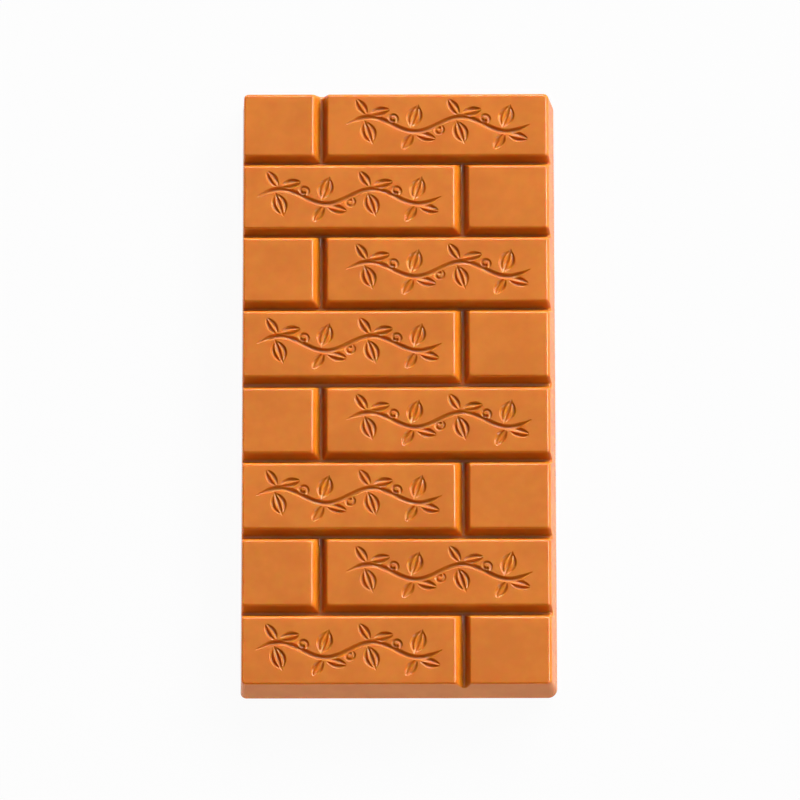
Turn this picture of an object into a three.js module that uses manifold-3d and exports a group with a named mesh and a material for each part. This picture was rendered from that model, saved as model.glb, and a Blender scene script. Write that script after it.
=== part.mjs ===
// A moulded bar of blond chocolate. Eight rows of two bricks, one small and one long, stand in
// brick bond on one slab, and each long brick has a running cocoa vine engraved in its face.
// The bar is cast in one piece, so it is one solid.
// Millimetres: +X across the bar, +Y to its head, +Z up from the flat back that it lies on.
import * as THREE from "three";
import { mergeVertices } from "three/addons/utils/BufferGeometryUtils.js";
import Module from "manifold-3d";

const wasm = await Module();
wasm.setup();

// The bar as a whole
const WIDTH = 80; // across the flat back
const THICKNESS = 9; // from the back to the bricks' faces
const WALL_LEAN = 0.95; // how far an outer wall leans in on its way up, so the bar leaves its mould
const LEFTWARD = 0.55; // how far the bricks stand left of the middle of the back
const FACE_CORNER = 1.2; // radius of the bar's corners at the faces
const BACK_CORNER = 2.4; // radius of the back's corners, seen from above
const WORN_BACK_CORNER = 1.5; // the corner at the left of the foot is tighter
const BACK_EDGE = 0.3; // the small round where the back meets the walls
const FACE_EDGE = 0.35; // height of the small round where a wall meets a face
const EDGE_SHARE = 0.7; // how far such a round reaches into a face, as a share of its height

// The rows of bricks, from the head to the foot: the mould's rows are not quite alike
const ROW_FACES = [17.1, 17.25, 17.4, 17.8, 17.5, 17.65, 17.65, 18.1];
const ROW_GROOVES = [2.7, 2.65, 2.65, 3.1, 2.85, 2.9, 2.9];
const SMALL_BRICK_LEFT = 17.95; // face width in the rows that begin with the small brick
const SMALL_BRICK_RIGHT = 20.35; // face width in the rows that end with it
const UPRIGHT_GROOVE = 3.65; // width of the groove between the two bricks of a row
const GROOVE_DEPTH = 2.6;
const ROW_GROOVE_RUN = 1.05; // how far a brick's wall leans out into the groove between two rows
const UPRIGHT_GROOVE_RUN = 1.45; // and into the groove between two bricks
const BRICK_CORNER = 0.85; // radius of a brick's inner corners at its face
const BRICK_ROOT_CORNER = 0.45; // and where it meets the slab
const MOUTH = 0.6; // how far a brick's outline runs past the bar's wall, which opens the groove's end
const MOUTH_CORNER = 1.1; // radius of a brick's corners there, at its face
const MOUTH_ROOT_CORNER = 1.8; // and where it meets the slab

// The vine that is engraved in the long bricks
const HALF_WAVE = 11.8; // from one bend of the stem to the next
const BENDS = 4;
const STEM_RISE = 2.0; // how far the stem swings to each side
const STEM_HALF = 0.6; // half the width of the stem's cut
const LEAF_HALF = 0.52; // half the width of each cut in a leaf or a pod
const CURL_HALF = 0.45; // half the width of a tendril's cut
const CUT_STEEPNESS = 0.8; // depth of a cut for each millimetre of its half width
const POINT = 0.14; // how wide a cut is at its tips, as a share of its middle
const ROOT_STAND = 0.3; // how far the outer cuts of a leaf or a pod stand off its middle at the root
const TIP_STAND = 0.18; // and at the tip
const POD_SHORT = 0.07; // how much earlier a pod's outer ribs end, as a share of its length

const FACE_WIDTH = WIDTH - 2 * WALL_LEAN;
const sum = (list) => list.reduce((total, size) => total + size, 0);
const FACE_LENGTH = sum(ROW_FACES) + sum(ROW_GROOVES);
const LENGTH = FACE_LENGTH + 2 * WALL_LEAN;
const GROOVE_FLOOR = THICKNESS - GROOVE_DEPTH;

// ---- solids from rings of points ----

// Points round a rectangle with round corners. The radii go round from the lower left corner.
function roundedOutline(left, right, low, high, radii, steps) {
  const [a, b, c, d] = radii;
  const corners = [
    [left + a, low + a, a, Math.PI],
    [right - b, low + b, b, 1.5 * Math.PI],
    [right - c, high - c, c, 0],
    [left + d, high - d, d, 0.5 * Math.PI],
  ];
  const points = [];
  for (const [x, y, radius, start] of corners) {
    const arc = new THREE.EllipseCurve(x, y, radius, radius, start, start + 0.5 * Math.PI);
    points.push(...arc.getPoints(steps));
  }
  return points;
}

// A closed solid through level rings of equally many points, given from the lowest to the highest.
function stackRings(rings) {
  const count = rings[0].points.length;
  const positions = [];
  const index = [];
  for (const { points, z } of rings) {
    for (const p of points) positions.push(p.x, p.y, z);
  }
  for (let r = 0; r + 1 < rings.length; r++) {
    for (let i = 0; i < count; i++) {
      const a = r * count + i;
      const b = r * count + ((i + 1) % count);
      index.push(a, b, b + count, a, b + count, a + count);
    }
  }
  const top = (rings.length - 1) * count;
  for (let i = 1; i + 1 < count; i++) {
    index.push(0, i + 1, i);
    index.push(top, top + i, top + i + 1);
  }
  return closedGeometry(positions, index);
}

function closedGeometry(positions, index) {
  const geometry = new THREE.BufferGeometry();
  geometry.setAttribute("position", new THREE.Float32BufferAttribute(positions, 3));
  geometry.setIndex(index);
  return mergeVertices(geometry, 1e-5);
}

function toSolid(geometry) {
  const vertProperties = geometry.attributes.position.array;
  const triVerts = new Uint32Array(geometry.index.array);
  return new wasm.Manifold(new wasm.Mesh({ numProp: 3, vertProperties, triVerts }));
}

function toGeometry(solid) {
  const { vertProperties, triVerts } = solid.getMesh();
  const geometry = new THREE.BufferGeometry();
  geometry.setAttribute("position", new THREE.BufferAttribute(vertProperties, 3));
  geometry.setIndex(new THREE.BufferAttribute(triVerts, 1));
  return geometry;
}

// ---- the bar's outer form ----

// The bar as if it had no grooves: the back, the leaning walls and the level of the faces.
function outerForm() {
  const steps = 5;
  const ring = (z, outset, corner, wornCorner) => {
    const halfWidth = FACE_WIDTH / 2 + outset;
    const halfLength = FACE_LENGTH / 2 + outset;
    const radii = [wornCorner, corner, corner, corner];
    return { z, points: roundedOutline(-halfWidth, halfWidth, -halfLength, halfLength, radii, steps) };
  };
  const lean = (z) => (WALL_LEAN * (THICKNESS - z)) / THICKNESS;
  const back = [BACK_CORNER, WORN_BACK_CORNER];
  const face = [FACE_CORNER, FACE_CORNER];
  return stackRings([
    ring(0, WALL_LEAN - EDGE_SHARE * BACK_EDGE, ...back),
    ring(BACK_EDGE, WALL_LEAN, ...back),
    ring(THICKNESS - FACE_EDGE, lean(THICKNESS - FACE_EDGE), ...face),
    ring(THICKNESS, -EDGE_SHARE * FACE_EDGE, ...face),
  ]);
}

// ---- the bricks ----

// Where each brick's face lies, and which of its sides look into a groove.
function brickPlaces() {
  const places = [];
  let high = FACE_LENGTH / 2;
  ROW_FACES.forEach((faceHeight, row) => {
    const low = high - faceHeight;
    const smallFirst = row % 2 === 0;
    const left = -FACE_WIDTH / 2;
    const right = FACE_WIDTH / 2;
    const grooveLeft = smallFirst ? left + SMALL_BRICK_LEFT : right - SMALL_BRICK_RIGHT - UPRIGHT_GROOVE;
    const grooveRight = grooveLeft + UPRIGHT_GROOVE;
    const rowPlace = { low, high, atHead: row === 0, atFoot: row === ROW_FACES.length - 1 };
    places.push({ ...rowPlace, left, right: grooveLeft, atLeft: true, atRight: false, long: !smallFirst });
    places.push({ ...rowPlace, left: grooveRight, right, atLeft: false, atRight: true, long: smallFirst });
    high = low - (ROW_GROOVES[row] ?? 0);
  });
  return places;
}

// One brick, from inside the slab to a little over the face level, where the outer form cuts it off.
function brickForm(place) {
  const steps = 3;
  // share: how far down the wall this ring is, from 0 at the face to 1 at the groove's floor
  const ring = (z, share, inset) => {
    const side = (onWall, run) => (onWall ? MOUTH : run * share - inset);
    const inner = THREE.MathUtils.lerp(BRICK_CORNER, BRICK_ROOT_CORNER, share);
    const outer = THREE.MathUtils.lerp(MOUTH_CORNER, MOUTH_ROOT_CORNER, share);
    const corner = (...onWall) => (onWall.includes(true) ? outer : inner);
    return {
      z,
      points: roundedOutline(
        place.left - side(place.atLeft, UPRIGHT_GROOVE_RUN),
        place.right + side(place.atRight, UPRIGHT_GROOVE_RUN),
        place.low - side(place.atFoot, ROW_GROOVE_RUN),
        place.high + side(place.atHead, ROW_GROOVE_RUN),
        [
          corner(place.atLeft, place.atFoot),
          corner(place.atRight, place.atFoot),
          corner(place.atRight, place.atHead),
          corner(place.atLeft, place.atHead),
        ],
        steps,
      ),
    };
  };
  const edge = FACE_EDGE / GROOVE_DEPTH;
  return stackRings([
    ring(GROOVE_FLOOR - 1, 1, 0),
    ring(GROOVE_FLOOR, 1, 0),
    ring(THICKNESS - FACE_EDGE, edge, 0),
    ring(THICKNESS + FACE_EDGE, -edge, 2 * EDGE_SHARE * FACE_EDGE),
  ]);
}

// What lies under the grooves: a slab wider than the bar, which the outer form trims.
function slabForm() {
  const slab = new THREE.BoxGeometry(WIDTH + 4, LENGTH + 4, GROOVE_FLOOR + 2);
  slab.translate(0, 0, GROOVE_FLOOR / 2 - 1);
  slab.deleteAttribute("normal");
  slab.deleteAttribute("uv");
  return mergeVertices(slab, 1e-5);
}

// ---- the engraved vine ----

// A cut's half width along its length t, from 0 to 1: full in the middle, nearly nothing at its tips.
const taper = (t) => POINT + (1 - POINT) * Math.sin(Math.PI * t) ** 0.8;

// A cut from root to tip that bows sideways, as a gouge makes it.
function bowedCut(root, tip, bow, half, steps) {
  const along = tip.clone().sub(root);
  const side = new THREE.Vector2(-along.y, along.x).normalize();
  const stations = [];
  for (let i = 0; i <= steps; i++) {
    const t = i / steps;
    const at = root.clone().addScaledVector(along, t).addScaledVector(side, 4 * bow * t * (1 - t));
    stations.push({ at, half: half * taper(t) });
  }
  return stations;
}

// Cuts side by side from one root to one tip: three make a ribbed pod, two the halves of a leaf.
function cutFan(root, degrees, length, spread, ribs, steps) {
  const angle = THREE.MathUtils.degToRad(degrees);
  const along = new THREE.Vector2(Math.cos(angle), Math.sin(angle));
  const side = new THREE.Vector2(-along.y, along.x);
  const cuts = [];
  for (let rib = 0; rib < ribs; rib++) {
    const place = (2 * rib) / (ribs - 1) - 1;
    const short = ribs > 2 ? POD_SHORT * length * Math.abs(place) : 0;
    const from = (across, far) => root.clone().addScaledVector(side, across).addScaledVector(along, far);
    const start = from(place * ROOT_STAND, short);
    const end = from(place * TIP_STAND, length - short);
    cuts.push(bowedCut(start, end, place * (spread / 2 - LEAF_HALF - ROOT_STAND), LEAF_HALF, steps));
  }
  return cuts;
}

// A tendril that leaves its root towards an angle and winds inwards.
function curlCut(root, degrees, hand) {
  const [wide, tight, turns, steps] = [1.35, 0.6, 0.95, 7];
  const angle = THREE.MathUtils.degToRad(degrees);
  const toCentre = new THREE.Vector2(-Math.sin(angle), Math.cos(angle));
  const centre = root.clone().addScaledVector(toCentre, hand * wide);
  const stations = [];
  for (let i = 0; i <= steps; i++) {
    const t = i / steps;
    const turn = angle + hand * Math.PI * (2 * turns * t - 0.5);
    const radius = THREE.MathUtils.lerp(wide, tight, t);
    const at = new THREE.Vector2(centre.x + radius * Math.cos(turn), centre.y + radius * Math.sin(turn));
    stations.push({ at, half: CURL_HALF * (i === 0 ? 0.4 : 0.75 + 0.25 * t) });
  }
  return stations;
}

function stemCut() {
  const steps = 20;
  const stations = [];
  for (let i = 0; i <= steps; i++) {
    const t = i / steps;
    const x = (t - 0.5) * (BENDS * HALF_WAVE - 0.4);
    const at = new THREE.Vector2(x, STEM_RISE * Math.sin((Math.PI * x) / HALF_WAVE));
    stations.push({ at, half: STEM_HALF * Math.min(1, 0.2 + 12 * Math.min(t, 1 - t)) });
  }
  return stations;
}

// Every cut of the vine round its own middle. A pod hangs inside each bend of the stem, two leaves
// stand outside it, and a curl fills the room between two bends.
function vineCuts() {
  const cuts = [stemCut()];
  for (let bend = 0; bend < BENDS; bend++) {
    const up = bend % 2 === 0 ? 1 : -1;
    const middle = (bend - (BENDS - 1) / 2) * HALF_WAVE;
    const at = (x, y) => new THREE.Vector2(middle + x, up * (STEM_RISE + y));
    cuts.push(...cutFan(at(-1.2, -1.1), -72 * up, 6.5, 4.1, 3, 4));
    cuts.push(...cutFan(at(-0.9, 1.05), 122 * up, 4.3, 2.7, 2, 3));
    cuts.push(...cutFan(at(0.6, 1.0), 13 * up, 4.5, 2.7, 2, 4));
    if (bend > 0) {
      const root = new THREE.Vector2(middle - 0.5 * HALF_WAVE + 0.9, -0.45 * up);
      cuts.push(curlCut(root, -35 * up, -up));
    }
  }
  return cuts;
}

// The cutter for one cut: a V that is flush with the face.
function cutterForm(stations, centreX, centreY) {
  const positions = [];
  stations.forEach(({ at, half }, i) => {
    const before = stations[Math.max(i - 1, 0)].at;
    const after = stations[Math.min(i + 1, stations.length - 1)].at;
    const ahead = after.clone().sub(before).normalize();
    const [x, y] = [centreX + at.x, centreY + at.y];
    positions.push(x - ahead.y * half, y + ahead.x * half, THICKNESS);
    positions.push(x, y, THICKNESS - half * CUT_STEEPNESS);
    positions.push(x + ahead.y * half, y - ahead.x * half, THICKNESS);
  });
  const index = [0, 1, 2];
  for (let i = 0; i + 1 < stations.length; i++) {
    for (let side = 0; side < 3; side++) {
      const a = 3 * i + side;
      const b = 3 * i + ((side + 1) % 3);
      index.push(a, a + 3, b, b, a + 3, b + 3);
    }
  }
  const last = 3 * (stations.length - 1);
  index.push(last, last + 2, last + 1);
  return closedGeometry(positions, index);
}

// ---- the whole bar ----

function barGeometry() {
  const places = brickPlaces();
  let relief = toSolid(slabForm());
  for (const place of places) relief = relief.add(toSolid(brickForm(place)));
  let bar = toSolid(outerForm()).intersect(relief);
  for (const place of places.filter(({ long }) => long)) {
    const centreX = (place.left + place.right) / 2;
    const centreY = (place.low + place.high) / 2;
    for (const cut of vineCuts()) bar = bar.subtract(toSolid(cutterForm(cut, centreX, centreY)));
  }
  return leanLeft(toGeometry(bar));
}

// The bricks stand to the left of the back, so everything over the back's edge is sheared that way.
function leanLeft(geometry) {
  const place = geometry.attributes.position;
  for (let i = 0; i < place.count; i++) {
    const share = Math.max(0, place.getZ(i) - BACK_EDGE) / (THICKNESS - BACK_EDGE);
    place.setX(i, place.getX(i) - LEFTWARD * share);
  }
  geometry.computeVertexNormals();
  return geometry;
}

const chocolate = new THREE.MeshStandardMaterial({
  name: "blond_chocolate",
  color: 0xd67b34,
  roughness: 0.36,
  metalness: 0,
});

const bar = new THREE.Mesh(barGeometry(), chocolate);
bar.name = "bar";

const group = new THREE.Group();
group.name = "chocolate_bar";
group.add(bar);

export default group;
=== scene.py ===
import math

import bmesh
import bpy
import numpy as np
from mathutils import Matrix, Vector, noise
from mathutils.geometry import delaunay_2d_cdt


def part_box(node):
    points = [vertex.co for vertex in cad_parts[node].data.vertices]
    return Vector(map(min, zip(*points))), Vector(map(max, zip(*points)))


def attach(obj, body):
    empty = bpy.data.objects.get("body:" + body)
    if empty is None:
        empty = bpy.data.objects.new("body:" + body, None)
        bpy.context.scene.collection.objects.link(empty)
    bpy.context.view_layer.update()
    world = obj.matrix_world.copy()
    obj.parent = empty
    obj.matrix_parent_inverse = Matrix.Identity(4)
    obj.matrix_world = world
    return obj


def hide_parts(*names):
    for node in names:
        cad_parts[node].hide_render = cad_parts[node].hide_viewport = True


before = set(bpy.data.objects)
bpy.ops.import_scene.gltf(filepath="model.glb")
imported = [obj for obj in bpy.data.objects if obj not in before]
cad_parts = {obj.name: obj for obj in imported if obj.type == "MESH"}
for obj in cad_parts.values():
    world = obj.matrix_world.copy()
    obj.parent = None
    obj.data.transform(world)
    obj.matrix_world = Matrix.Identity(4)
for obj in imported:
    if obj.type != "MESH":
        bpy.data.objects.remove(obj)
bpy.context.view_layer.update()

# ---- The rows of bricks ----
# A chocolate bar cast in a mould of eight rows. Each row holds a small and a long brick, and the
# next row turns them round, as a bricklayer does, so that no upright groove runs on into the next.
# All of it is drawn in millimetres, as its mould is, and turned into metres with the mesh.
MM = 0.001
bar_low, bar_high = (np.array(corner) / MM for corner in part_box("bar"))
bar_width, bar_length, bar_thickness = bar_high - bar_low
wall_lean = 0.95                        # how far the outer walls lean in on their way up
leftward = 0.55                         # how far the bricks stand left of the middle of the back
row_faces = [17.1, 17.25, 17.4, 17.8, 17.5, 17.65, 17.65, 18.1]     # from the head to the foot
row_grooves = [2.7, 2.65, 2.65, 3.1, 2.85, 2.9, 2.9]
small_brick_left, small_brick_right = 17.95, 20.35
upright_groove = 3.65
face_right = bar_width / 2 - wall_lean  # where the faces end at the right and at the head
face_head = bar_length / 2 - wall_lean


def lay_bricks():
    """Each brick's face as (left, right, foot, head), from the head of the bar to its foot."""
    bricks = []
    head = face_head
    for row, height in enumerate(row_faces):
        foot = head - height
        if row % 2 == 0:
            groove = -face_right + small_brick_left
        else:
            groove = face_right - small_brick_right - upright_groove
        bricks.append((-face_right, groove, foot, head))
        bricks.append((groove + upright_groove, face_right, foot, head))
        head = foot - (row_grooves + [0])[row]
    return bricks


bricks = lay_bricks()

# ---- The walls of the grooves ----
# The grooves are where the bar breaks. A brick's face rolls over a small lip into a sloping wall,
# and the wall runs out in a hollow at the groove's floor, because no cast edge is ever sharp.
groove_depth = 2.6
row_run, upright_run = 1.05, 1.45       # how far a wall leans out into its groove
foot_lip, left_lip = 0.6, 0.35          # the radius of the lips that look to the foot or to the left
soft_lip = 0.95                         # and of those that look to the head or to the right
row_hollow, upright_hollow = 0.32, 0.36
brick_corner = 0.85                     # the radius of a brick's corners at its face
corner_shrink = 0.28                    # and what that radius loses for each millimetre farther out
lip_rings, hollow_rings, corner_points = 6, 5, 8
edge_guard = 0.2                        # a ring this close to a bend keeps the flat beside it flat
rim_inset = 1.1                         # the outer walls' own mesh begins this far inside the faces
rim_right, rim_head = face_right - rim_inset, face_head - rim_inset
wall_step = 1.2                         # from one point of the mesh to the next along a straight wall
same_place = 0.01                       # lines closer together than this count as one


def wall_line(run, lip_round, hollow):
    """A wall's section from the face to the floor: how far out, and how far below the face."""
    slope = math.atan2(groove_depth, run)
    over, under = np.linspace(0, slope, lip_rings), np.linspace(slope, 0, hollow_rings)
    lip_reach, hollow_reach = lip_round * math.tan(slope / 2), hollow * math.tan(slope / 2)
    lip = np.stack([lip_round * np.sin(over) - lip_reach, lip_round * (1 - np.cos(over))], 1)
    root = np.stack([
        run + hollow_reach - hollow * np.sin(under),
        groove_depth - hollow * (1 - np.cos(under)),
    ], 1)
    guard = edge_guard * np.array([math.cos(slope), math.sin(slope)])
    return np.vstack([lip[0] - (edge_guard, 0), lip, lip[-1] + guard, root[0] - guard, root])


foot_wall, head_wall = (wall_line(row_run, lip, row_hollow) for lip in (foot_lip, soft_lip))
left_wall, right_wall = (wall_line(upright_run, lip, upright_hollow) for lip in (left_lip, soft_lip))


def spread(start, end, step):
    """Places from start to end, evenly spaced and no farther apart than a step."""
    return np.linspace(start, end, max(2, math.ceil(abs(end - start) / step) + 1))


def brick_rings(place):
    """Rings round a brick, from its face down to the groove's floor, along the sides that look
    into grooves. They run anticlockwise, and begin and end on the rim line."""
    left, right, foot, head = place
    at_right = right == face_right
    if at_right:                        # drawn as its mirror image, and turned back at the end
        left, right = -right, -left
        side_wall = left_wall
    else:
        side_wall = right_wall
    open_foot, open_head = foot > same_place - face_head, head < face_head - same_place
    across = len(spread(left, right, wall_step))
    down = len(spread(foot, head, wall_step))
    turn = np.linspace(0, math.pi / 2, corner_points)[1:-1]
    rings = []
    for foot_part, head_part, side_part in zip(foot_wall, head_wall, side_wall):
        side, low, high = right + side_part[0], foot - foot_part[0], head + head_part[0]
        corner = brick_corner - corner_shrink * side_part[0]
        low_centre, high_centre = (side - corner, low + corner), (side - corner, high - corner)
        ring, drop = [], []

        if open_foot:
            ring += [np.linspace((-rim_right, low), (side - corner, low), across)]
            ring += [low_centre + corner * np.stack([np.sin(turn), -np.cos(turn)], 1)]
            mix = foot_part[1] + np.sin(turn) ** 2 * (side_part[1] - foot_part[1])
            drop += [np.full(across, foot_part[1]), mix]
        start = low + corner if open_foot else -rim_head
        end = high - corner if open_head else rim_head
        ring += [np.linspace((side, start), (side, end), down)]
        drop += [np.full(down, side_part[1])]
        if open_head:
            ring += [high_centre + corner * np.stack([np.cos(turn), np.sin(turn)], 1)]
            ring += [np.linspace((side - corner, high), (-rim_right, high), across)]
            mix = head_part[1] + np.cos(turn) ** 2 * (side_part[1] - head_part[1])
            drop += [mix, np.full(across, head_part[1])]
        rings.append(np.column_stack([np.vstack(ring), bar_thickness - np.concatenate(drop)]))
    rings = np.array(rings)
    return rings[:, ::-1] * (-1, 1, 1) if at_right else rings


walls = [brick_rings(place) for place in bricks]

# ---- The outer walls ----
# The mould's sides lean, so that the bar comes out. At the ends of the grooves the bricks' corners
# are rounded off, and every wall rolls over a soft edge into the faces and the groove floors.
sharpest_edge, softest_edge = 0.4, 0.95     # radius at the left and foot, and at the right and head
back_round = 0.32                       # the radius between the outer walls and the back
face_corner, back_corner = 1.2, 2.4     # the radius of the bar's own corners, at the faces and the back
left_foot_corner = 1.5                  # the one at the left of the foot is sharper at the back
mouth_corner = 1.0                      # a brick corner's radius where a groove opens outwards
mouth_stretch = 0.55                    # how much slower such a corner falls off towards the outside
lean_per_mm = wall_lean / (bar_thickness - back_round)
face_rings, edge_rings, back_rings, bar_corner_points = 5, 7, 5, 9
level_heights = [5.0, 4.0, 3.0, 2.0, 1.1]   # rings down the wall, all below the groove floors' edge
groove_walls = [foot_wall, head_wall, left_wall, right_wall]
FOOT, HEAD, LEFT, RIGHT = range(4)


def side_line(half, grooves, kinds):
    """Points along one side of the rim line. For each: how far it lies past the core of its brick, and
    which kind of wall it belongs to. Each groove goes down one kind of wall and up the other."""
    down, up = (mouth_corner + groove_walls[kind][:, 0] for kind in kinds)
    down, up = (np.concatenate([[past[0] / 2], past]) for past in (down, up))
    line, past, kind, begin = [], [], [], -half
    for low, high in grooves:
        face = spread(begin, low - mouth_corner, wall_step)
        floor = spread(low - mouth_corner + down[-1], high + mouth_corner - up[-1], wall_step)[1:-1]
        line += [face, low - mouth_corner + down, floor, high + mouth_corner - up[::-1]]
        past += [0 * face, down, 0 * floor + down[-1], up[::-1]]
        kind += [np.full(len(face) + len(down) + len(floor), kinds[0]), np.full(len(up), kinds[1])]
        begin = high + mouth_corner
    face = spread(begin, half, wall_step)
    line, past = np.concatenate(line + [face]), np.concatenate(past + [0 * face])
    return line[1:-1], past[1:-1], np.concatenate(kind + [np.full(len(face), kinds[1])])[1:-1]


def rim_line():
    """The rim line's points, anticlockwise from the left of the foot. For each: its place, the way
    out from it, what a corner's growing radius adds, how far past its brick, the kind of its wall."""
    rim_corner = face_corner - rim_inset
    half_side, half_end = rim_head - rim_corner, rim_right - rim_corner
    row_gaps = [(bricks[i + 2][3], bricks[i][2]) for i in range(0, len(bricks) - 2, 2)][::-1]
    foot_gap, head_gap = (bricks[-2][1], bricks[-1][0]), (-bricks[1][0], -bricks[0][1])
    sides = [
        (half_end, [foot_gap], (RIGHT, LEFT), back_corner),
        (half_side, row_gaps, (HEAD, FOOT), back_corner),
        (half_end, [head_gap], (LEFT, RIGHT), back_corner),
        (half_side, [(-high, -low) for low, high in row_gaps[::-1]], (FOOT, HEAD), left_foot_corner),
    ]
    place, way, spill, past, kind = [], [], [], [], []
    for i, (half, gaps, kinds, corner_below) in enumerate(sides):
        ahead = np.array([(1, 0), (0, 1), (-1, 0), (0, -1)][i])
        outward = np.array([ahead[1], -ahead[0]])
        reach = rim_head if i % 2 == 0 else rim_right
        line, line_past, line_kind = side_line(half, gaps, kinds)
        place.append(outward * reach + np.outer(line, ahead))
        way.append(np.tile(outward, (len(line), 1)))
        spill.append(np.zeros((len(line), 2)))
        past.append(line_past)

        turn = np.linspace(0, math.pi / 2, bar_corner_points)
        round_way = np.outer(np.cos(turn), outward) + np.outer(np.sin(turn), ahead)
        place.append(outward * (reach - rim_corner) + ahead * half + round_way * rim_corner)
        way.append(round_way)
        spill.append((round_way - outward - ahead) * (corner_below - face_corner - wall_lean))
        past.append(np.zeros(len(turn)))
        kind += [line_kind, np.full(len(turn), kinds[1])]
    return [np.concatenate(part) for part in (place, way, spill, past, kind)]


rim_place, rim_way, rim_spill, rim_past, rim_kind = rim_line()


def mouth_drop(reach):
    """How far the surface lies below the faces, that far out from the rim line."""
    beyond = np.maximum(reach - (rim_inset - mouth_corner), 0) * mouth_stretch
    out = np.hypot(beyond, rim_past) - mouth_corner
    return np.choose(rim_kind, [np.interp(out, *wall.T) for wall in groove_walls])


def smooth(share):
    """A share from 0 to 1 that starts and ends gently."""
    return share ** 2 * (3 - 2 * share)


def outer_walls():
    """Rings from the rim line over the edge, down the outer wall and round on to the back."""
    wall_angle = math.pi / 2 - math.atan(lean_per_mm)
    softness = (1 + rim_way.sum(1) / math.sqrt(2)) / 2
    edge_round = sharpest_edge + (softest_edge - sharpest_edge) * smooth(softness)
    edge_reach = edge_round * math.tan(wall_angle / 2)
    edge = np.full(len(rim_past), rim_inset)
    for _ in range(4):                  # the deeper it lies, the farther out, until it settles
        edge = rim_inset + lean_per_mm * mouth_drop(edge)

    stations = []                       # how far out from the rim line, and how far below the faces
    for share in np.linspace(0, 1, face_rings):
        out = share * (edge - edge_reach)
        stations.append((out, mouth_drop(out)))
    for angle in np.linspace(0, wall_angle, edge_rings)[1:]:
        out = edge - edge_reach + edge_round * math.sin(angle)
        stations.append((out, mouth_drop(np.minimum(out, edge)) + edge_round * (1 - math.cos(angle))))
    below = stations[-1][1] + edge_guard
    stations.append((rim_inset + lean_per_mm * below, below))
    for height in level_heights + [back_round + edge_guard]:
        drop = np.full(len(edge), bar_thickness - height)
        stations.append((rim_inset + lean_per_mm * drop, drop))
    for angle in np.linspace(0, math.pi / 2, back_rings):
        out = rim_inset + wall_lean - back_round * (1 - math.cos(angle))
        height = back_round * (1 - math.sin(angle))
        stations.append((np.full(len(edge), out), np.full(len(edge), bar_thickness - height)))

    rings = []
    for out, drop in stations:
        lean = np.maximum(out - rim_inset, 0) / wall_lean
        flat = rim_place + rim_way * out[:, None] + rim_spill * lean[:, None]
        rings.append(np.column_stack([flat, bar_thickness - drop]))
    return np.array(rings)


outside = outer_walls()
rim_drop = mouth_drop(0)

# ---- The engraved vine ----
# A running cocoa vine is cut into the mould's long bricks, so that it lies sunk in the chocolate: a
# waving stem, a ribbed pod inside each of its bends, two leaves outside it, and curls between them.
half_wave, bends, stem_rise = 11.8, 4, 2.0
stem_half, leaf_half, curl_half = 0.6, 0.52, 0.45   # half the width of a cut
cut_depth = 0.92                        # for each millimetre of a cut's half width
tip_share = 0.3                         # how wide a cut is at its tips, as a share of its middle
cut_lip = 1.15                          # where a cut's soft lip ends, for each millimetre of half width
bed_width, lip_softness = 2.6, 1.4      # the powers that shape a cut's section
cut_shares = [cut_lip, 0.98, 0.74, 0.42, 0]     # the lines that the mesh follows in a cut
cut_guard = 0.13                        # and a last line this far outside its lip
cut_step = 0.46                         # from one point to the next along a leaf's or a pod's cut
closest = 0.085                         # how close the mesh's points may come to each other
vine_clearance = 0.4                    # how far a face's other points keep from the cuts


def bowed_cut(root, tip, bow):
    """A leaf's or a pod's cut from root to tip that bows sideways, as a gouge makes it."""
    along = tip - root
    length = math.hypot(*along)
    side = np.array([-along[1], along[0]]) / length
    t = np.linspace(0, 1, math.ceil(length / cut_step))
    line = root + np.outer(t, along) + np.outer(4 * bow * t * (1 - t), side)
    fullness = np.sin(math.pi * t) ** 0.8
    return line, leaf_half * (tip_share + (1 - tip_share) * fullness)


def cut_fan(root, degrees, length, width, ribs):
    """Cuts side by side from one root to one tip: three make a ribbed pod, two the halves of a leaf."""
    angle = math.radians(degrees)
    along = np.array([math.cos(angle), math.sin(angle)])
    side = np.array([-along[1], along[0]])
    root_stand, tip_stand = 0.3, 0.18   # how far the outer cuts' ends stand off the middle
    pod_short = 0.07                    # how much later a pod's outer cuts begin, as a share of it
    cuts = []
    for place in np.linspace(-1, 1, ribs):
        short = pod_short * length * abs(place) if ribs > 2 else 0
        start = root + side * place * root_stand + along * short
        end = root + side * place * tip_stand + along * (length - short)
        cuts.append(bowed_cut(start, end, place * (width / 2 - leaf_half - root_stand)))
    return cuts


def curl_cut(root, degrees, hand):
    """A tendril that leaves its root towards an angle and winds inwards."""
    wide, tight, turns = 1.35, 0.6, 0.95    # its radius outside and inside, and how far it winds
    angle = math.radians(degrees)
    centre = root + hand * wide * np.array([-math.sin(angle), math.cos(angle)])
    t = np.linspace(0, 1, 20)
    turn = angle + hand * math.pi * (2 * turns * t - 0.5)
    radius = wide + (tight - wide) * t
    line = centre + np.stack([radius * np.cos(turn), radius * np.sin(turn)], 1)
    fullness = np.minimum(0.75 + 0.25 * t, 0.4 + 4 * t)
    return line, curl_half * fullness


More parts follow.
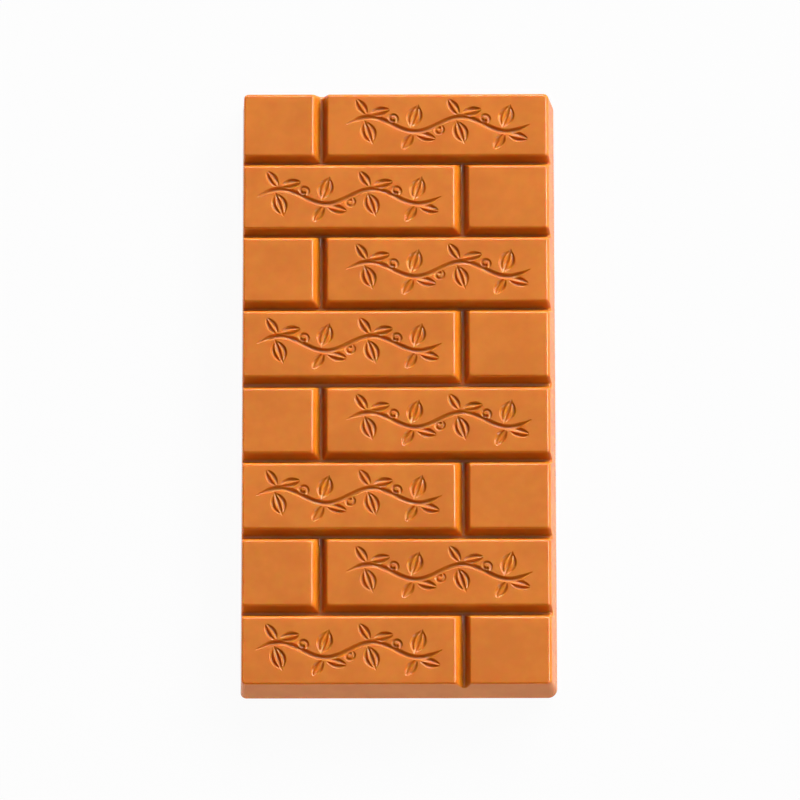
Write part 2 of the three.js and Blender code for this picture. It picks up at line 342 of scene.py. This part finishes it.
def vine_cuts():
    """Every cut as its middle line and its half width along that line, round the vine's middle."""
    stem_short, stem_tip, stem_growth = 0.4, 0.2, 12
    t = np.linspace(0, 1, 121)
    x = (t - 0.5) * (bends * half_wave - stem_short)
    stem = np.stack([x, stem_rise * np.sin(math.pi * x / half_wave)], 1)
    fullness = np.minimum(1, stem_tip + stem_growth * np.minimum(t, 1 - t))
    cuts = [(stem, stem_half * fullness)]
    for bend in range(bends):
        up = 1 if bend % 2 == 0 else -1
        middle = (bend - (bends - 1) / 2) * half_wave
        cuts += cut_fan((middle - 1.2, up * (stem_rise - 1.1)), -72 * up, length=6.5, width=4.1, ribs=3)
        cuts += cut_fan((middle - 0.9, up * (stem_rise + 1.05)), 122 * up, length=4.3, width=2.7, ribs=2)
        cuts += cut_fan((middle + 0.6, up * (stem_rise + 1.0)), 13 * up, length=4.5, width=2.7, ribs=2)
        if bend > 0:
            cuts.append(curl_cut((middle - half_wave / 2 + 0.9, -0.45 * up), -35 * up, -up))
    return cuts


vine = vine_cuts()


def cut_shape(points, line, half):
    """How deep one cut is at each point, and how far the point lies outside its lip."""
    start, along = line[:-1], np.diff(line, axis=0)
    offset = points[:, None] - start
    t = ((offset * along).sum(2) / (along ** 2).sum(1)).clip(0, 1)
    apart = np.linalg.norm(offset - t[..., None] * along, axis=2)
    width = half[:-1] + t * np.diff(half)
    share = apart / width
    nearest = share.argmin(1)[:, None]
    share, apart, width = (np.take_along_axis(part, nearest, 1)[:, 0] for part in (share, apart, width))
    bed = (1 - (share / cut_lip).clip(0, 1) ** bed_width) ** lip_softness
    return bed * width * cut_depth, apart - width * cut_lip


def beside(line, apart):
    """Points on both sides of a line and round its ends, as far off as is given for each point."""
    ahead = np.gradient(line, axis=0)
    ahead /= np.linalg.norm(ahead, axis=1, keepdims=True)
    side = np.stack([-ahead[:, 1], ahead[:, 0]], 1)
    points = [line + side * apart[:, None], line - side * apart[:, None]]
    for end, outward in ((0, -ahead[0]), (-1, ahead[-1])):
        for turn in np.radians((-45, 0, 45)):
            way = outward * math.cos(turn) + side[end] * math.sin(turn)
            points.append([line[end] + way * apart[end]])
    return np.vstack(points)


def vine_points():
    """Points for the mesh to follow, along each cut's lips, slopes and bed, with their depths. A point
    is left out where another cut is deeper, or where it comes too close to one before it."""
    points, depths = [], []
    for cut, (line, half) in enumerate(vine):
        lines = [beside(line, half * cut_lip + cut_guard)]
        lines += [beside(line, half * share) for share in cut_shares]
        spots = np.vstack(lines)
        own = cut_shape(spots, line, half)[0]
        others = [cut_shape(spots, *other)[0] for i, other in enumerate(vine) if i != cut]
        shown = own >= np.max(others, axis=0)
        points.append(spots[shown])
        depths.append(own[shown])
    points, depths = np.concatenate(points), np.concatenate(depths)
    kept = []
    for i, point in enumerate(points):
        if (np.hypot(*(points[kept] - point).T) > closest).all():
            kept.append(i)
    return points[kept], depths[kept]


def between_cuts(points):
    """True where a point lies clear of every cut of the vine."""
    clear = np.array([cut_shape(points, line, half)[1] for line, half in vine]).min(0)
    return clear > vine_clearance


vine_place, vine_depth = vine_points()

# ---- The bar's skin ----
# The whole bar is one casting, so its faces, grooves, outer walls and back are one closed skin. It
# is gathered patch by patch: the bricks' walls, the outer walls, the faces, the floors, the back.
skin_points, skin_faces = [], []
face_step, back_step = 1.8, 3.0         # from one point to the next inside a face and the back
shoulder, shoulder_drop = 1.8, 0.13     # how far in from its edge a face begins to sink, and how much
shoulder_insets = [1.1, 1.4, 1.8]       # loops of points this far inside a face's edge
rim_clearance = 0.2                     # and this far or more inside the rim line
sewing_distance = 0.003                 # points closer together than this become one
unevenness, broad_wave, small_wave = 0.05, 9, 3.5   # how deep a casting's waves are, and how long


def add_rings(rings, closed):
    """A patch between rings of points."""
    start = sum(map(len, skin_points))
    levels, count = rings.shape[:2]
    skin_points.append(rings.reshape(-1, 3))
    for level in range(levels - 1):
        for i in range(count if closed else count - 1):
            a, b = (start + level * count + k for k in (i, (i + 1) % count))
            skin_faces.append((a, b, b + count, a + count))


def add_flat(lines, inner, heights):
    """A patch inside lines that close on themselves, over inner points that have their own height."""
    points = np.vstack(lines + [np.column_stack([inner, heights])])
    edges, start = [], 0
    for line in lines:
        edges += [(start + i, start + i + 1) for i in range(len(line) - 1)]
        start += len(line)
    flat = [Vector(point) for point in points[:, :2].tolist()]
    only_inside, tolerance = 1, 1e-4
    made, _, faces, origins, _, _ = delaunay_2d_cdt(flat, edges, [], only_inside, tolerance)
    level = points[0, 2]
    placed = [points[came[0]] if came else (*spot, level) for spot, came in zip(made, origins)]
    start = sum(map(len, skin_points))
    skin_points.append(np.array(placed))
    skin_faces.extend(tuple(start + i for i in face) for face in faces)


def rim_pieces(keep):
    """The stretches of the rim line between neighbouring points that are both kept."""
    line = np.column_stack([rim_place, bar_thickness - rim_drop])
    return [line[[i, i - 1]] for i in range(len(line)) if keep[i] and keep[i - 1]]


def fill_points(low, high, step):
    """Points in rows set off against each other, inside a rectangle."""
    rows = np.arange(low[1] + step, high[1] - step / 2, step)
    spots = []
    for i, y in enumerate(rows):
        spots += [(x, y) for x in np.arange(low[0] + step * (1 + i % 2 / 2), high[0] - step / 2, step)]
    return np.array(spots)


def shoulder_points(place):
    """Points in loops just inside a face's edge, as far as they lie inside the rim line."""
    left, right, foot, head = place
    spots = []
    for inset in shoulder_insets:
        xs = spread(left + inset, right - inset, wall_step)
        ys = spread(foot + inset, head - inset, wall_step)
        spots += [(x, y) for x in xs for y in (ys[0], ys[-1])]
        spots += [(x, y) for x in (xs[0], xs[-1]) for y in ys[1:-1]]
    spots = np.array(spots)
    return spots[(abs(spots) < (rim_right - rim_clearance, rim_head - rim_clearance)).all(1)]


for place, rings in zip(bricks, walls):
    left, right, foot, head = place
    add_rings(rings, closed=False)
    inside = (rim_place > (left, foot)) & (rim_place < (right, head))
    outline = rim_pieces(inside.all(1) & (rim_drop == 0))
    inmost = shoulder_insets[-1]
    inner = fill_points((left + inmost, foot + inmost), (right - inmost, head - inmost), face_step)
    inner = np.vstack([inner, shoulder_points(place)])
    heights = np.full(len(inner), bar_thickness)
    if right - left > bar_width / 2:
        middle = ((left + right) / 2, (foot + head) / 2)
        kept = between_cuts(inner - middle)
        inner = np.vstack([inner[kept], vine_place + middle])
        heights = np.concatenate([heights[kept], bar_thickness - vine_depth])
    add_flat([rings[0]] + outline, inner, heights)

floor_edges = [rings[-1] for rings in walls] + rim_pieces(rim_drop == groove_depth)
add_flat(floor_edges, np.empty((0, 2)), np.empty(0))
add_rings(outside, closed=True)
back_edge = np.vstack([outside[-1], outside[-1][:1]])
back_points = fill_points(back_edge.min(0)[:2], back_edge.max(0)[:2], back_step)
add_flat([back_edge], back_points, np.zeros(len(back_points)))


def sink(points):
    """How far each point sinks because the faces fall off towards their right and head edges."""
    level = np.zeros(len(points))
    for left, right, foot, head in bricks:
        far = np.stack([right - points[:, 0], head - points[:, 1]])
        near = np.stack([points[:, 0] - left, points[:, 1] - foot])
        flat = (1 - (1 - (far / shoulder).clip(0, 1)) ** 3) * (1 + near / shoulder).clip(0, 1)
        level = np.maximum(level, flat.prod(0))
    fade = ((points[:, 2] - bar_thickness) / groove_depth + 1).clip(0, 1)
    return (1 - level) * fade * shoulder_drop


def skin_mesh():
    """The patches sewn together where they meet, with the small unevenness of a cast thing."""
    points = np.vstack(skin_points)
    points[:, 2] -= sink(points)
    points[:, 0] -= leftward * ((points[:, 2] - back_round) / (bar_thickness - back_round)).clip(0)
    mesh = bpy.data.meshes.new("moulded_bar")
    mesh.from_pydata((points * MM).tolist(), [], skin_faces)
    skin = bmesh.new()
    skin.from_mesh(mesh)
    loose = [point for point in skin.verts if not point.link_faces]
    bmesh.ops.delete(skin, geom=loose, context="VERTS")
    bmesh.ops.remove_doubles(skin, verts=skin.verts, dist=sewing_distance * MM)
    bmesh.ops.recalc_face_normals(skin, faces=skin.faces)
    skin.normal_update()
    for point in skin.verts:
        # the wave runs from 0 to 1, so that no point comes to lie outside the mould's shape
        spot = point.co / MM
        wave = 0.5 + 0.35 * noise.noise(spot / broad_wave) + 0.15 * noise.noise(spot / small_wave)
        point.co -= point.normal * wave * unevenness * MM
    skin.to_mesh(mesh)
    skin.free()
    mesh.polygons.foreach_set("use_smooth", [True] * len(mesh.polygons))
    return mesh


# ---- The chocolate ----
# Blond chocolate: white chocolate cooked to a caramel colour. Cast against the mould it is smooth
# and softly glossy, with a faint mottling and a few pin holes. The poured back is duller.
def chocolate_surface():
    """Colour, roughness and fine relief of the chocolate, mottled as cocoa butter sets unevenly."""
    group = bpy.data.node_groups.new("chocolate_surface", "ShaderNodeTree")
    sockets = [
        ("Colour", "INPUT", "NodeSocketColor"),
        ("Mottle", "INPUT", "NodeSocketColor"),
        ("Roughness", "INPUT", "NodeSocketFloat"),
        ("Ripple", "INPUT", "NodeSocketFloat"),
        ("Colour", "OUTPUT", "NodeSocketColor"),
        ("Roughness", "OUTPUT", "NodeSocketFloat"),
        ("Height", "OUTPUT", "NodeSocketFloat"),
    ]
    for name, direction, kind in sockets:
        group.interface.new_socket(name, in_out=direction, socket_type=kind)
    add, link = group.nodes.new, group.links.new
    given, result = add("NodeGroupInput"), add("NodeGroupOutput")
    place = add("ShaderNodeTexCoord")

    def cloud(scale, detail):
        """Soft spots, so many to the metre."""
        texture = add("ShaderNodeTexNoise")
        texture.inputs["Scale"].default_value = scale
        texture.inputs["Detail"].default_value = detail
        link(place.outputs["Object"], texture.inputs["Vector"])
        return texture.outputs["Fac"]

    def reckon(operation, first, second):
        """One sum, on sockets or plain numbers."""
        step = add("ShaderNodeMath")
        step.operation = operation
        for socket, value in zip(step.inputs, (first, second)):
            if isinstance(value, (int, float)):
                socket.default_value = value
            else:
                link(value, socket)
        return step.outputs[0]

    def reach(value, low, high):
        """0 where the value is low, 1 where it is high, and a gentle step between."""
        step = add("ShaderNodeMapRange")
        step.interpolation_type = "SMOOTHSTEP"
        step.inputs["From Min"].default_value = low
        step.inputs["From Max"].default_value = high
        link(value, step.inputs["Value"])
        return step.outputs["Result"]

    blotches, cloudy, grain = cloud(75, 3), cloud(330, 2), cloud(2600, 2)
    cells = add("ShaderNodeTexVoronoi")
    cells.inputs["Scale"].default_value = 190
    link(place.outputs["Object"], cells.inputs["Vector"])
    chance = add("ShaderNodeSeparateColor")
    link(cells.outputs["Color"], chance.inputs["Color"])
    hole_floor, hole_rim, cells_without_hole = 0.014, 0.032, 0.82
    dot = reckon("SUBTRACT", 1, reach(cells.outputs["Distance"], hole_floor, hole_rim))
    chosen = reckon("GREATER_THAN", chance.outputs["Red"], cells_without_hole)
    pin_hole = reckon("MULTIPLY", dot, chosen)

    tone = add("ShaderNodeMix")
    tone.data_type = "RGBA"
    blotch_share, cloud_share, plain_below, mottled_above = 0.7, 0.3, 0.34, 0.66
    broad = reckon("MULTIPLY", blotches, blotch_share)
    fine = reckon("MULTIPLY", cloudy, cloud_share)
    mottled = reach(reckon("ADD", broad, fine), plain_below, mottled_above)
    link(mottled, tone.inputs["Factor"])
    link(given.outputs["Colour"], tone.inputs["A"])
    link(given.outputs["Mottle"], tone.inputs["B"])
    link(tone.outputs["Result"], result.inputs["Colour"])

    gloss_change, grain_height, hole_depth = 0.18, 0.0000035, 0.00006
    uneven = reckon("MULTIPLY", reckon("SUBTRACT", cloudy, 0.5), gloss_change)
    link(reckon("ADD", given.outputs["Roughness"], uneven), result.inputs["Roughness"])

    ripple = reckon("MULTIPLY", cloudy, given.outputs["Ripple"])
    relief = reckon("ADD", ripple, reckon("MULTIPLY", grain, grain_height))
    pitted = reckon("SUBTRACT", relief, reckon("MULTIPLY", pin_hole, hole_depth))
    link(pitted, result.inputs["Height"])
    return group


surface = chocolate_surface()


def chocolate(name, colour, mottle, roughness, ripple):
    """Chocolate of two near colours, with its own roughness and height of ripple, in metres."""
    material = bpy.data.materials.new(name)
    material.use_nodes = True
    nodes, link = material.node_tree.nodes, material.node_tree.links.new
    shader = nodes["Principled BSDF"]
    skin = nodes.new("ShaderNodeGroup")
    skin.node_tree = surface
    skin.inputs["Colour"].default_value = (*colour, 1)
    skin.inputs["Mottle"].default_value = (*mottle, 1)
    skin.inputs["Roughness"].default_value = roughness
    skin.inputs["Ripple"].default_value = ripple
    relief = nodes.new("ShaderNodeBump")
    relief.inputs["Strength"].default_value = 1
    relief.inputs["Distance"].default_value = 1
    link(skin.outputs["Colour"], shader.inputs["Base Color"])
    link(skin.outputs["Roughness"], shader.inputs["Roughness"])
    link(skin.outputs["Height"], relief.inputs["Height"])
    link(relief.outputs["Normal"], shader.inputs["Normal"])
    shader.inputs["IOR"].default_value = 1.46
    shader.inputs["Specular IOR Level"].default_value = 0.44
    shader.inputs["Subsurface Weight"].default_value = 0.6
    shader.inputs["Subsurface Radius"].default_value = (1, 0.25, 0.05)
    shader.inputs["Subsurface Scale"].default_value = 0.0025
    return material


moulded = chocolate(
    "moulded_chocolate",
    colour=(0.6, 0.175, 0.0118),
    mottle=(0.545, 0.151, 0.0084),
    roughness=0.22,
    ripple=0.00002,
)
poured = chocolate(
    "poured_chocolate",
    colour=(0.56, 0.155, 0.016),
    mottle=(0.5, 0.13, 0.011),
    roughness=0.42,
    ripple=0.00008,
)

# ---- The bar ----
# The finished bar, out of its mould: one piece of chocolate. It takes the place of the plain
# solid, and its back has the poured finish.
bar = bpy.data.objects.new("moulded_bar", skin_mesh())
bpy.context.scene.collection.objects.link(bar)
bar.data.materials.append(moulded)
bar.data.materials.append(poured)
poured_height = 0.2                     # below this the chocolate has the poured finish
for face in bar.data.polygons:
    face.material_index = int(face.center.z < poured_height * MM)
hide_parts("bar")
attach(bar, "root")

# ---- The table ----
# A sheet of white opal glass, lit from below, so that a bar lying on it casts next to no shadow. It
# looks whiter from above than it lights the bar's walls.
def opal_glass():
    """Glass that glows evenly, and more to the eye than on to what lies on it."""
    material = bpy.data.materials.new("opal_glass")
    material.use_nodes = True
    nodes, link = material.node_tree.nodes, material.node_tree.links.new
    shader = nodes["Principled BSDF"]
    shader.inputs["Base Color"].default_value = (0.02, 0.02, 0.02, 1)
    shader.inputs["Roughness"].default_value = 0.6
    shader.inputs["Specular IOR Level"].default_value = 0
    shader.inputs["Emission Color"].default_value = (1, 1, 1, 1)
    sight, glow = nodes.new("ShaderNodeLightPath"), nodes.new("ShaderNodeMapRange")
    glow.inputs["To Min"].default_value = 0.7
    glow.inputs["To Max"].default_value = 0.957
    link(sight.outputs["Is Camera Ray"], glow.inputs["Value"])
    link(glow.outputs["Result"], shader.inputs["Emission Strength"])
    return material


def table_top():
    half_side = 3.0
    signs = [(-1, -1), (1, -1), (1, 1), (-1, 1)]
    corners = [(half_side * x, half_side * y, 0) for x, y in signs]
    mesh = bpy.data.meshes.new("table_top")
    mesh.from_pydata(corners, [], [(0, 1, 2, 3)])
    mesh.materials.append(opal_glass())
    top = bpy.data.objects.new("table_top", mesh)
    bpy.context.scene.collection.objects.link(top)
    return top


table_top()

# ---- The lights ----
# A dim room with a pale band along its walls, and a long soft box that stands low at the bar's right
# towards its head, so that the grooves are dark. It has no mirror image, or the faces would glare from
# low down: the highlights on the lips come from strips that stand higher.
scene = bpy.context.scene
scene.view_settings.view_transform = "Standard"
room = bpy.data.worlds.new("dim_room")
room.use_nodes = True
room_add, room_link = room.node_tree.nodes.new, room.node_tree.links.new
direction, height = room_add("ShaderNodeTexCoord"), room_add("ShaderNodeSeparateXYZ")
band = room_add("ShaderNodeMapRange")
for name, value in [("From Min", 0.06), ("From Max", 0.25), ("To Min", 1.1), ("To Max", 0.0)]:
    band.inputs[name].default_value = value
room_link(direction.outputs["Generated"], height.inputs["Vector"])
room_link(height.outputs["Z"], band.inputs["Value"])
room_link(band.outputs["Result"], room.node_tree.nodes["Background"].inputs["Strength"])
room.node_tree.nodes["Background"].inputs["Color"].default_value = (1, 1, 1, 1)
scene.world = room
light_distance = 3.2


def soft_box(name, turn, rise, half_wide, half_high, brightness, part):
    """A soft box that faces the bar. All its angles are in degrees as seen from the bar: its turn
    from the bar's right towards its head, its rise, and half of its width and height. It lights the
    body of things, their shine or both."""
    turn, rise = math.radians(turn), math.radians(rise)
    way = Vector((math.cos(rise) * math.cos(turn), math.cos(rise) * math.sin(turn), math.sin(rise)))
    data = bpy.data.lights.new(name, "AREA")
    data.shape = "RECTANGLE"
    data.size = 2 * light_distance * math.tan(math.radians(half_wide))
    data.size_y = 2 * light_distance * math.tan(math.radians(half_high))
    data.energy = brightness * math.pi * data.size * data.size_y
    light = bpy.data.objects.new(name, data)
    light.location = way * light_distance
    light.rotation_mode = "QUATERNION"
    light.rotation_quaternion = way.to_track_quat("Z", "Y")
    light.visible_diffuse = part != "shine"
    light.visible_glossy = part != "body"
    scene.collection.objects.link(light)


soft_box("key", 56, 22.5, 31, 7, 29.5, "body")
soft_box("upper_key", 44, 38, 30, 8, 2.2, "body")
soft_box("left_fill", 165, 6, 25, 5, 10, "body")
soft_box("foot_fill", -95, 5, 40, 4, 5.5, "body")
soft_box("right_strip", 29, 44, 7, 5, 30, "shine")
soft_box("middle_strip", 60, 40, 24, 5, 13, "shine")
soft_box("head_strip", 90, 38, 12, 4, 16, "shine")
soft_box("right_spark", -28, 34, 5, 5, 24, "both")
soft_box("overhead", 90, 70, 12, 12, 0.9, "both")

# ---- The camera ----
# Far off with a long lens, nearly straight above the bar and tipped a little towards its foot. The
# bar stands upright in the view, with its middle next to the middle of the view.
aim = Vector((0.35, -0.63, 0)) * MM
tip, sidle = math.radians(20.3), math.radians(0.15)
distance = 2.6
backward = Vector((math.sin(sidle), -math.sin(tip) * math.cos(sidle), math.cos(tip) * math.cos(sidle)))
upright_line = Vector((0.001, 1, 0))    # the line in the bar that stands upright in the view
sideways = upright_line.cross(backward).normalized()
upward = backward.cross(sideways)
lens = bpy.data.cameras.new("camera")
lens.sensor_width = 36
lens.lens = 458.5
lens.clip_end = 20
camera = bpy.data.objects.new("camera", lens)
turned = Matrix((sideways, upward, backward)).transposed().to_4x4()
camera.matrix_world = Matrix.Translation(aim + backward * distance) @ turned
scene.collection.objects.link(camera)
scene.camera = camera
